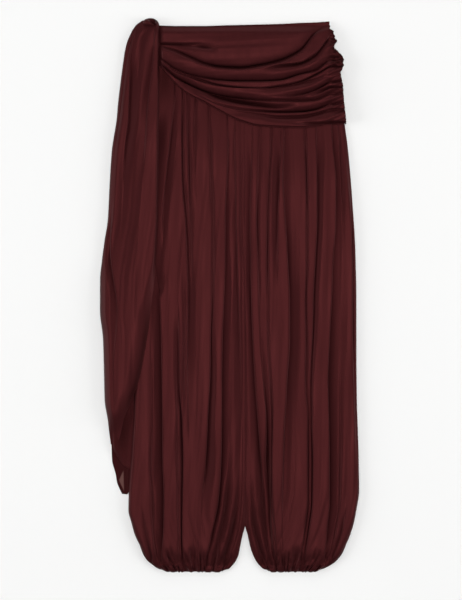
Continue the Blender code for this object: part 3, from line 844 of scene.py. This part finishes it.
# down, and where the ruffled right edge of the drape lies across
RUFFLED_EDGE = (
    (-7, 191), (7, 192), (12, 198), (23, 201), (33, 205), (41, 199), (54, 209),
    (65, 218), (80, 217), (94, 212), (113, 216), (142, 218), (169, 221), (190, 223),
)
# How high the swags stand, how far their lips lean, and the share that a valley takes away
SWAG_LOFT = 14.0
SWAG_LEAN = 3.0
SWAG_DEEP = 0.95
# The sharp cleft at the bottom of a soft valley
NOTCH = 2.2
SWAG_COLUMNS = 160
SWAG_ROWS = 16
TUCKED_X = -137.0


def swag_line(line, x):
    """Where a swag's valley lies under the lip that leans over it, and how deep it is."""
    _, places, depths, above, below = line
    depth = curve(SWAG_X, depths, x) / 100
    under = 0.9 * SWAG_LEAN * depth ** 1.5 * max(crispness(below) - crispness(above), 0)
    return curve(SWAG_X, places, x) + under, depth


def swag_height(x, down):
    """Upper face of the drape, which rides on the legs' bands with a swag below each line,
    how far the lips lean down, and the painted shade in the valleys."""
    keep = np.ones(x.shape)
    shift = np.zeros(x.shape)
    deep = np.zeros(x.shape)
    for line in SWAG_LINES[1:-1]:
        place, depth = swag_line(line, x)
        away = down - place
        reach = np.where(away > 0, line[4], line[3])
        far = np.abs(away) / reach
        crisp = crispness(reach)
        notch = 0.42 * depth ** 1.5
        slope = (1 - notch) * (1 - np.clip(far / 1.3, 0, 1)) ** 1.8
        slope = slope + notch * np.exp(-np.abs(away) / NOTCH)
        keep = keep * (1 - SWAG_DEEP * depth * (crisp * (1 - ease(far)) + (1 - crisp) * slope))
        # Painted shade deep in each swag's valley
        deep = np.maximum(deep, depth ** 2 * hump(away - 0.4 * SWAG_LEAN * crisp, 2.7))
        rolled = ease(far) * (1 - ease((far - 1) / 2))
        shift -= np.sign(away) * crisp * SWAG_LEAN * depth ** 1.5 * rolled
    full = 0.45 * ease(down / 16) + 0.55 * np.clip(down / 75, 0, 1)
    full = full * (0.7 + 0.3 * ease((drape_edge(x) - down) / 2.5))
    lower = REST + leg_loft(x, down, 40.0)
    base = lower + 2 * CLEAR + SHELL
    height = base + SWAG_LOFT * full * keep
    under_scarf = lower + CLEAR + SHELL
    return under_scarf + (height - under_scarf) * ease((x - TUCKED_X) / 9), shift * full, deep


def drape_points():
    """Rows that run along the swags, columns that run down the hips, and the painted shade."""
    x = np.linspace(TUCKED_X, 187, SWAG_COLUMNS)
    lines = np.array([swag_line(line, x)[0] for line in SWAG_LINES])
    apart = 0.02 * np.arange(len(lines))[:, None]
    lines = np.maximum.accumulate(np.minimum(lines, lines[-1]) + apart)
    down = []
    for above, below in zip(lines, lines[1:]):
        steps = 0.5 - 0.5 * np.cos(np.pi * np.arange(SWAG_ROWS) / SWAG_ROWS)
        down += [above + (below - above) * step for step in steps]
    down = np.array([*down, lines[-1]])
    x = np.tile(x, (len(down), 1))
    edge_down = down[:, -1:]
    frill = 1.2 * np.sin(edge_down / 1.5) * ease((110 - edge_down) / 30)
    edge_x = table_curve(RUFFLED_EDGE, 1, edge_down) + frill * ease((edge_down + 5) / 9)
    out = np.linspace(0, 1, 21)[1:]
    x = np.hstack([x, x[:, -1:] + out * (edge_x - x[:, -1:])])
    down = np.hstack([down, np.tile(edge_down, (1, len(out)))])
    z, shift, deep = swag_height(x, down)
    side = ease((x - 168) / 34) * ease(down / 14)
    ruffled = ease((x - 186) / 12) * ease((95 - down) / 30)
    crumple = 0.5 - 0.5 * np.sin(down / 0.95 - x / 2.1)
    # Painted shade among the crumples of the ruffled side
    deep = np.maximum(deep, ruffled * (0.35 + 0.6 * crumple))
    waves = 1.4 * np.sin(2 * np.pi * down / 17 + x / 11) + 1.1 * np.sin(down / 1.35 + x / 3.7)
    z += side * waves
    z -= 1.8 * side * ruffled * crumple
    z += ripple(down, x, 0.9, 0.8) * ease(down / 30) * ease((drape_edge(x) - down) / 12)
    below_waist = down - curve(SWAG_X, SWAG_LINES[0][1], x)
    z -= 0.6 * hump(below_waist - 4.5, 1.2) * ease((75 - x) / 90)
    # Painted shade along the groove just under the waist edge
    deep = np.maximum(deep, 0.6 * (1 - ease((below_waist - 0.5) / 3.5)))
    return (x, down + shift, z), deep


points, shade = drape_points()
dress("hip_drape", points, face_satin, deep=shade)

# %% [markdown]
# The scarf hangs from the knot down the side. It lies half on the leg and half beside it, so
# it is laid over a soft ramp between the two. Its upper layer is folded under at the end,
# where the lower layer and one sheer corner show.

# %% The scarf's upper layer
# down, left edge and right edge
SCARF_EDGES = (
    (-9, -168, -139), (0, -180, -135.2), (16, -190, -134.8),
    (39, -199, -134.8), (68, -204, -134.8), (105, -209, -134.8),
    (147, -214, -135), (180, -217, -135.5), (239, -226, -136.2),
    (297, -230, -137), (373, -234, -138), (412, -240, -140),
    (450, -245, -142), (489, -248.8, -144.5), (546, -249, -151),
    (604, -243, -159), (681, -241, -174), (719, -240, -188),
    (757, -234, -203), (782, -231, -209), (804, -228, -216),
)
SCARF_DOWN = (9, 28, 66, 124, 181, 239, 316, 431, 546, 661, 777)
# name, place across, depth in percent, reach outwards, reach inwards
SCARF_PLEATS = (
    ("edge shade", (-182, -189, -199, -205, -212, -220, -226, -237, -243, -238, -228),
     (30, 40, 45, 40, 35, 25, 5, 0, 0, 0, 0), 4, 7),
    ("folded step", (-180, -186, -197, -203, -210, -217, -224, -228, -216, -224, -222),
     (0, 0, 0, 0, 0, 0, 0, 80, 45, 15, 0), 9, 5),
    ("long valley", (-177, -183, -191, -193, -195, -201, -203, -207, -207, -215, -216),
     (20, 30, 60, 90, 90, 65, 15, 0, 0, 0, 0), 4.5, 20),
    ("middle fold", (-157, -165, -173, -176, -176, -178, -184, -190, -193, -203, -212),
     (35, 60, 35, 0, 0, 0, 0, 0, 0, 0, 0), 8, 10),
    ("border shade", (-144, -145, -146, -153, -159, -163, -168, -176, -184, -195, -209),
     (20, 35, 70, 85, 50, 25, 0, 0, 0, 0, 0), 13, 4.5),
)
SCARF_LOFT = 8.0
SCARF_LEAN = 2.5
SCARF_RAMP = 46.0
SCARF_CELLS = 24


def scarf_base(x, down):
    """How high the scarf is carried: by its own folds beside the leg, then by the leg."""
    outer = table_curve(LEG_EDGES, 1, np.maximum(down, 1))
    on_leg = np.clip((x - outer + SCARF_RAMP - 6) / SCARF_RAMP, 0, 1)
    carried = (0.4 + 0.5 * ease((down - 420) / 140)) * (1 - 0.85 * ease((down - 735) / 65))
    on_leg = (carried + (1 - carried) * on_leg) * ease((down + 14) / 22)
    leg_top = REST + leg_loft(x, np.maximum(down, drape_edge(x) - 30), 40.0) + CLEAR
    beside = WALL + CLEAR
    return beside, leg_top - beside, on_leg


def scarf_points():
    """The scarf's upper layer, from the knot to where it is folded under, and its painted shade.
    """
    places = np.linspace(-9, 804, 290)
    left, right = table_curve(SCARF_EDGES, 1, places), table_curve(SCARF_EDGES, 2, places)
    cells = (SCARF_CELLS,) * (len(SCARF_PLEATS) + 1)
    x = np.array([pleat_columns(SCARF_PLEATS, SCARF_DOWN, None, *row, cells, lean=SCARF_LEAN)
                  for row in zip(places, left, right)])
    places, left, right = places[:, None], left[:, None], right[:, None]
    down = places + 0 * x
    keep, shift = pleat_shape(SCARF_PLEATS, SCARF_DOWN, None, x, places, lean=SCARF_LEAN)
    left_round = np.sqrt(np.clip((x - left) / 12, 0, 1))
    curled = 4 + 24 * ease((places - 430) / 150)
    right_round = 1 - (1 - np.clip((right - x) / curled, 0, 1)) ** 1.8
    edge = left_round * right_round
    start = 0.5 + 0.5 * ease((places + 9) / 26)
    end = 1 - 0.8 * ease((places - 745) / 58)
    beside, rise, on_leg = scarf_base(x, down)
    z = beside + rise * on_leg * left_round + WALL + SCARF_LOFT * edge * keep * start * end
    z += ripple(x - left, places, 2.3, 0.8) * edge * start * end
    # Painted shade along the right edge where the upper layer turns down
    turned = ease((places - 510) / 90) * (1 - ease((places - 700) / 60))
    deep = 0.65 * turned * hump(right - x - 3, 6)
    return (x + shift * edge * start * end, down, z), deep


points, shade = scarf_points()
dress("scarf_front", points, face_satin, deep=shade)

# %% [markdown]
# The lower layer is nearly flat beside the leg, with a narrow rolled hem along its slanting
# end. The corner below it is a single layer: where nothing dark lies behind it, it is sheer.

# %% The scarf's lower layer and its corner
UNDER_EDGE = (
    (28, -190), (105, -205), (239, -222), (373, -230), (489, -244.5),
    (604, -239), (719, -236), (782, -228.5), (809, -226.5),
)
UNDER_DROP = (0, 23, 38, 44)
# down at the left and at the right, then left edge and right edge
CORNER_EDGES = (
    (812, 857, -227, -189.5),
    (834, 869, -226, -190.5),
    (861, 880, -219, -191),
    (878, 890, -216, -191.5),
    (899, 900, -207, -196.5),
)
# How far the lower layer goes in over the leg's edge
UNDER_LEG = 2.5
CORNER_SHELL = 0.3
# Painted shade over the whole corner, on the cloth's mask
CORNER_SHADE = 0.5
# Corners of the patch where the cloth is single, across and down
SHEER_PATCH = ((-204, 854), (-213, 873), (-202.7, 895))


def hem_drop(share):
    """How far down the lower layer's slanting hem has come on its way across."""
    return curve(np.linspace(0, 1, len(UNDER_DROP)), UNDER_DROP, share)


def under_points():
    """The lower layer, from the knot to its slanting hem, and the painted shade in its hollow."""
    level = np.linspace(UNDER_EDGE[0][0], UNDER_EDGE[-1][0], 200)[:, None]
    share = np.linspace(0, 1, 46)[None, :]
    down = level + ease((level - 700) / 109) * hem_drop(share)
    left = table_curve(UNDER_EDGE, 1, level)
    outer = leg_sides("left", down[:, -1:])[0]
    right = outer + UNDER_LEG
    x = left + share * (right - left)
    from_hem = UNDER_EDGE[-1][0] - level
    hem = 0.7 * hump(from_hem - 2.2, 1.6)
    swell = 11 * ease((level - 735) / 30) * ease(from_hem / 14) * ease(share * 6) * (1 - share)
    z = 0.9 + 0.45 * ease(np.sin(9 * share + level / 70) * 0.5 + 0.5) + hem + swell
    z += 0.9 * ease((x - outer + 9) / 7) + 0.5 * (1 - ease(from_hem / 9))
    # The hollow is a shallow dip in the cloth and also painted shade on the mask
    hollow = hump(x + 206 + 0.12 * (down - 784), 13) * hump(down - 784, 40)
    return (x, down, z - 0.4 * hollow), 0.6 * hollow


def single_layer(x, down):
    """1 inside the patch where the cloth is single, 0 outside it."""
    inside = np.ones(x.shape)
    corners = SHEER_PATCH
    for (x0, down0), (x1, down1) in zip(corners, corners[1:] + corners[:1]):
        from_side = (x - x0) * (down1 - down0) - (down - down0) * (x1 - x0)
        inside = inside * ease(from_side / math.hypot(x1 - x0, down1 - down0) / 1.6 + 0.3)
    return inside


def corner_points():
    """The corner below the lower layer's hem."""
    t = np.linspace(0, 1, 60)[:, None]
    share = np.linspace(0, 1, 40)[None, :]
    rows = np.linspace(0, 1, len(CORNER_EDGES))
    down_left, down_right, left, right = (
        curve(rows, column(CORNER_EDGES, k), t) for k in range(4))
    drop = hem_drop(share)
    down = down_left + share * (down_right - down_left)
    first = UNDER_EDGE[-1][0] - 3 + drop
    down = down + (first - down[:1]) * (1 - ease(t * 3))
    x = left + share * (right - left)
    z = 0.75 + 0.35 * np.sin(7 * share + 3 * t) * ease(np.minimum(t, 1 - t) * 4)
    z = z - 0.2 * (1 - ease(t * 8)) + 1.0 * ease((share - 0.72) / 0.2)
    return x, down, z


points, shade = under_points()
dress("scarf_under", points, back_satin, deep=shade)
points = corner_points()
# The corner gets the same painted shade all over
shade = np.full(points[0].shape, CORNER_SHADE)
sheer_corner = dress("scarf_corner", points, sheer_satin, CORNER_SHELL, shade)
spots = np.array([vert.co[:2] for vert in sheer_corner.data.vertices]) / MM
patch = single_layer(spots[:, 0] + MIDDLE_X, WAIST_Y - spots[:, 1])
mask = sheer_corner.data.attributes.new("single_layer", "FLOAT", "POINT")
mask.data.foreach_set("value", patch.astype(np.float32))
print("single layer:", int((patch > 0.5).sum()), "of", len(patch), "points")

# %% [markdown]
# The knot is a small tight bundle of the same satin. A sphere with its points pushed in along
# leaning furrows gives the wrapped turns, and its underside sits on the scarf's top end.
# Its open end and its far rim get painted shade on the mask.

# %% The knot
KNOT_DOWN = -4.6
KNOT_X = -152.2
KNOT_HALF = (13.8, 8.6)
KNOT_HIGH = 13.5
# The furrows fan out from this point, across and down
FAN = (-139.5, 5.5)
FAN_FURROWS = 8.5
FURROW = 0.34


def hip_knot():
    """The tied bundle at the hip: a low round top with furrows that fan out from below."""
    mesh = bpy.data.meshes.new("hip_knot_cloth")
    bm = bmesh.new()
    bmesh.ops.create_uvsphere(bm, u_segments=128, v_segments=72, radius=1)
    seat = WALL + CLEAR + WALL + GAP
    layer = bm.loops.layers.uv.new("cloth")
    deep = []
    for vert in bm.verts:
        spot = vert.co.copy()
        across = KNOT_X + KNOT_HALF[0] * spot.x
        down = KNOT_DOWN - KNOT_HALF[1] * spot.y
        turn = math.atan2(down - FAN[1], across - FAN[0])
        wave = 0.5 + 0.5 * math.cos(FAN_FURROWS * turn + 0.8)
        top = max(spot.z, 0) ** 0.55
        furrow = FURROW * wave ** 2.5 * top
        high = KNOT_HIGH * (top - furrow) if spot.z > 0 else 0
        high = seat + high + 0.4 * spot.z
        # Painted shade at the open end and along the far rim
        end = hump(across + 142.5, 6) * hump(down + 7, 7)
        deep.append(max(0.85 * end, 0.7 * ease((-9.5 - down) / 3)))
        vert.co = ((across - MIDDLE_X) * MM, (WAIST_Y - down) * MM, high * MM)
    for face in bm.faces:
        for loop in face.loops:
            loop[layer].uv = (loop.vert.co.x + loop.vert.co.z, loop.vert.co.y)
    bm.to_mesh(mesh)
    bm.free()
    mesh.attributes.new("painted_fold_shade", "FLOAT", "POINT").data.foreach_set("value", deep)
    mesh.shade_smooth()
    mesh.materials.append(face_satin)
    return put("hip_knot_cloth", mesh)


knot = hip_knot()
print("knot:", len(knot.data.polygons), "faces")

# %% [markdown]
# A plain pale floor and four soft lights. A narrow strong one hangs overhead, close to the
# camera's line: level satin sends its light straight back, and every slope turns it away, so
# the bands look bright and the sides of the folds dark, as in the photo. Two low lights at
# the sides are equal, because the photo's folds are lit alike from both sides, and a weak
# one beyond the waist lifts the swags.

# %% Floor and lights
FLOOR_WHITE = (0.86, 0.86, 0.855, 1)
FLOOR_DOWN = -0.0003
# The point that every light looks at
LIT = Vector((0, 0, 0))


def pale_floor():
    """A large pale sheet under the garment, just below its underside."""
    mesh = bpy.data.meshes.new("floor")
    bm = bmesh.new()
    bmesh.ops.create_grid(bm, x_segments=1, y_segments=1, size=6.0)
    bmesh.ops.translate(bm, verts=bm.verts, vec=(0, 0, FLOOR_DOWN))
    bm.to_mesh(mesh)
    bm.free()
    material = bpy.data.materials.new("pale_floor")
    material.use_nodes = True
    shader = material.node_tree.nodes["Principled BSDF"]
    preset(shader, {"Base Color": FLOOR_WHITE, "Roughness": 0.9, "Specular IOR Level": 0.1})
    mesh.materials.append(material)
    floor = put("floor", mesh)


def soft_light(name, place, size, watts):
    """A broad light that looks at the middle of the garment."""
    data = bpy.data.lights.new(name, "AREA")
    data.shape = "RECTANGLE"
    data.size, data.size_y = size
    data.energy = watts
    light = put(name, data)
    light.location = place
    light.rotation_euler = (LIT - light.location).to_track_quat("-Z", "Y").to_euler()


pale_floor()
# name, place and size in metres, watts
LIGHTS = (
    ("left_light", (-6.5, 0.0, 2.0), (2.6, 5.0), 235),
    ("right_light", (6.5, 0.0, 2.0), (2.6, 5.0), 235),
    ("top_light", (0.0, 8.0, 3.2), (5.0, 3.0), 150),
    ("overhead_light", (0.0, 0.0, 6.5), (1.3, 3.0), 237),
)
for light in LIGHTS:
    soft_light(*light)
world = bpy.data.worlds.new("studio")
bpy.context.scene.world = world
world.use_nodes = True
preset(world.node_tree.nodes["Background"], {"Color": (1, 1, 1, 1), "Strength": 0.23})
print("lights:", [light[0] for light in LIGHTS])

# %% [markdown]
# The photo looks straight down on the garment from far off. The frame is 462 pixels wide and
# 600 high, and a pixel is 1.92 mm of the garment, so a long lens four metres up takes in
# 1.152 m from top to bottom.

# %% Camera
PIXEL = 1.92
FRAME_HIGH = 600
# The middle of the frame and the middle of the garment, in pixels
MIDDLE_PIXEL = (231.0, 300.0)
GARMENT_PIXEL = (229.75, 295.5)
CAMERA_UP = 4.0
SENSOR = 36.0

camera_data = bpy.data.cameras.new("camera")
camera_data.sensor_width = SENSOR
camera_data.lens = SENSOR * CAMERA_UP / (FRAME_HIGH * PIXEL * MM)
camera_data.clip_end = 50.0
camera = put("camera", camera_data)
camera_x = (MIDDLE_PIXEL[0] - GARMENT_PIXEL[0]) * PIXEL - MIDDLE_X
camera_y = (GARMENT_PIXEL[1] - MIDDLE_PIXEL[1]) * PIXEL
camera.location = (camera_x * MM, camera_y * MM, CAMERA_UP)
bpy.context.scene.camera = camera
bpy.context.scene.view_settings.view_transform = "Standard"
print("lens:", round(camera_data.lens, 1), "mm")

# %% [markdown]
# Last, each piece is tied to the frame: the solid it stands for is hidden, and the piece
# rides on the frame's root.

# %% Tie the pieces to the frame
for piece, node, area in sheets:
    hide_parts(node)
    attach(piece, "root")
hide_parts("hip_knot")
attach(knot, "root")
